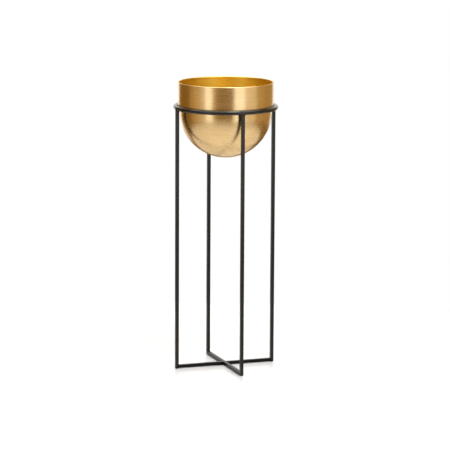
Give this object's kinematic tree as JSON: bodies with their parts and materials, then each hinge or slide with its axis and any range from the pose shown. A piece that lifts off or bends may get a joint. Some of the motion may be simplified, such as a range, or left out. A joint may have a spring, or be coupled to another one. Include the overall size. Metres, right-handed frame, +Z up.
{
  "type": "plant stand",
  "caption": "Tall plant stand: a round-bottomed brass bowl with a straight collar lifts out of a ring on slim black square legs joined by a floor cross.",
  "frame": {"origin": "on the floor, straight below the middle of the bowl, where the two floor bars cross", "axes": "+Z up along the height; -Y towards the front leg; +X towards the right leg"},
  "size_m": [0.277, 0.277, 0.7533],
  "materials": {
    "bowl_brass": "spun and lightly brushed, clear lacquer",
    "frame_black": "satin black powder coat",
    "foot_pad": "matte"
  },
  "bodies": {
    "stand": {"top_ring": "frame_black", "leg_front": "frame_black", "leg_right": "frame_black", "leg_back": "frame_black", "leg_left": "frame_black", "leg_weld_front": "frame_black", "leg_weld_right": "frame_black", "leg_weld_back": "frame_black", "leg_weld_left": "frame_black", "seat_tab_front": "frame_black", "seat_tab_right": "frame_black", "seat_tab_back": "frame_black", "seat_tab_left": "frame_black", "floor_bar_front_back": "frame_black", "floor_bar_right": "frame_black", "floor_bar_left": "frame_black", "foot_pad_front": "foot_pad", "foot_pad_right": "foot_pad", "foot_pad_back": "foot_pad", "foot_pad_left": "foot_pad"},
    "bowl": {"bowl": "bowl_brass"}
  },
  "joints": [
    {"name": "bowl_lift", "type": "slide", "parent": "stand", "child": "bowl", "axis": [0, 0, 1], "range_m": [0, 0.17]}
  ]
}
